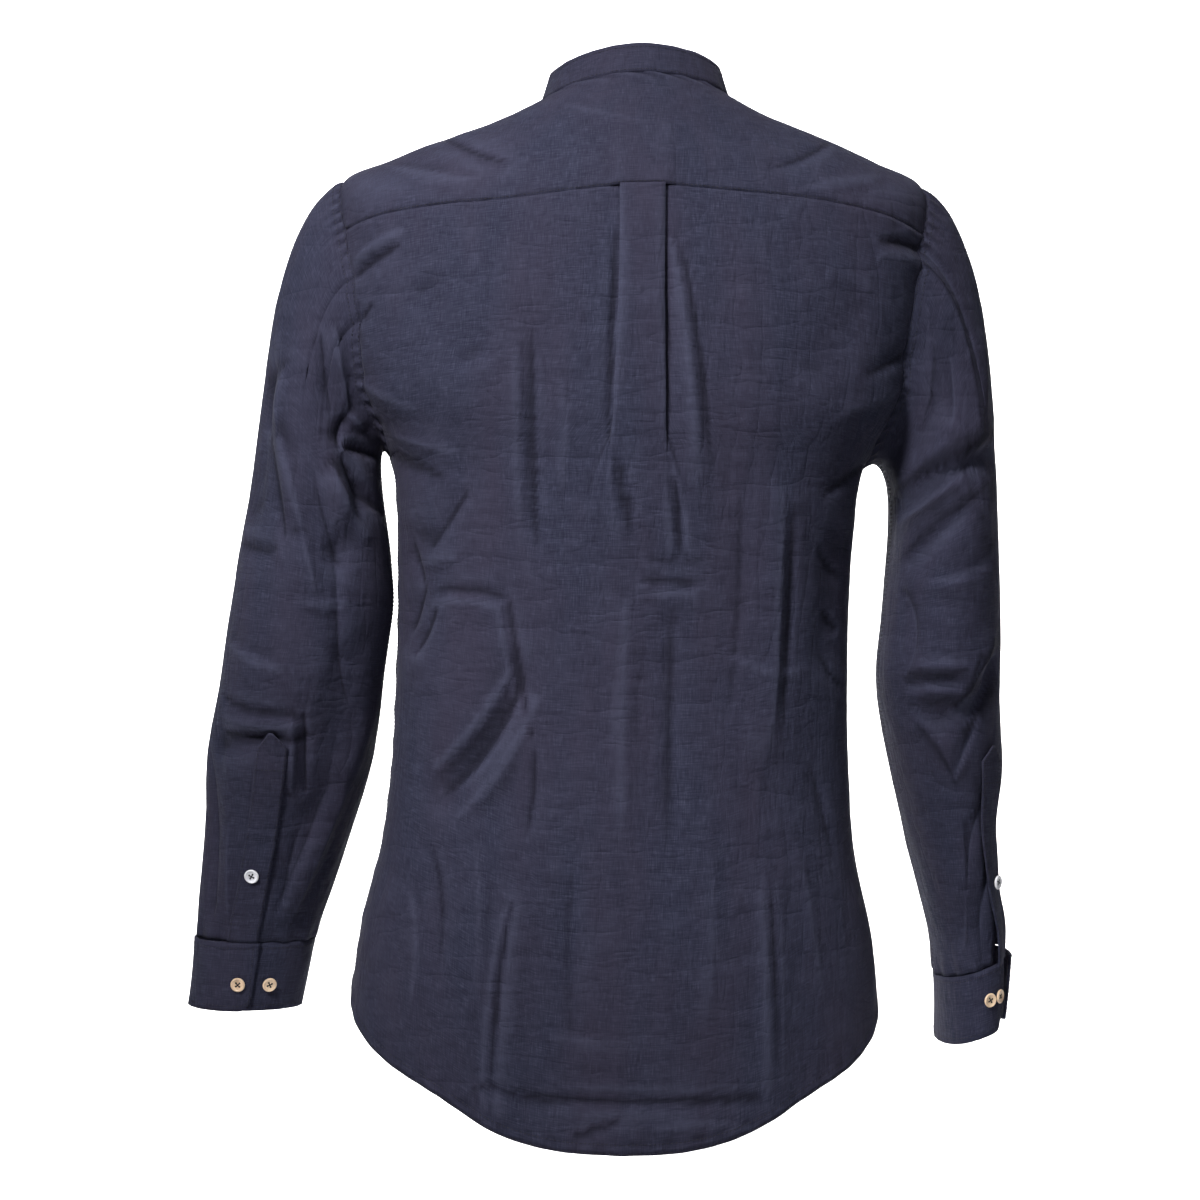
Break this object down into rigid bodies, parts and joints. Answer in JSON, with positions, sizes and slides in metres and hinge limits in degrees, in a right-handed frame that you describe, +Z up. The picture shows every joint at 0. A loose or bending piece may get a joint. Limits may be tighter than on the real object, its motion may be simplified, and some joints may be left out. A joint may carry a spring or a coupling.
{
  "type": "mandarin collar shirt",
  "caption": "Long-sleeve shirt with a standing band collar, back yoke and box pleat, shaped hem and button cuffs, filled out hollow with nobody in it.",
  "frame": {"origin": "inside the neck, on the wearer's middle line, about 15 mm below the collar seam at the back", "axes": "+Z up, +Y out of the wearer's back, +X towards the left of the back view"},
  "size_m": [0.6534, 0.2482, 0.8306],
  "materials": {
    "cloth": "dark navy linen and cotton plain weave, matt and slubby",
    "pearl_buttons": "pale pearl, softly shiny, four holes",
    "cuff_buttons": "tan horn look, softly shiny, four holes"
  },
  "bodies": {
    "root": {"back": "cloth", "yoke": "cloth", "front_left": "cloth", "front_right": "cloth", "collar_band": "cloth", "sleeve_left": "cloth", "sleeve_right": "cloth", "sleeve_placket_left": "cloth", "sleeve_placket_right": "cloth", "cuff_left": "cloth", "cuff_right": "cloth", "front_button_1": "pearl_buttons", "front_button_2": "pearl_buttons", "front_button_3": "pearl_buttons", "front_button_4": "pearl_buttons", "front_button_5": "pearl_buttons", "front_button_6": "pearl_buttons", "front_button_7": "pearl_buttons", "collar_button": "pearl_buttons", "placket_button_left": "pearl_buttons", "placket_button_right": "pearl_buttons", "cuff_button_left_1": "cuff_buttons", "cuff_button_left_2": "cuff_buttons", "cuff_button_right_1": "cuff_buttons", "cuff_button_right_2": "cuff_buttons"}
  },
  "joints": []
}
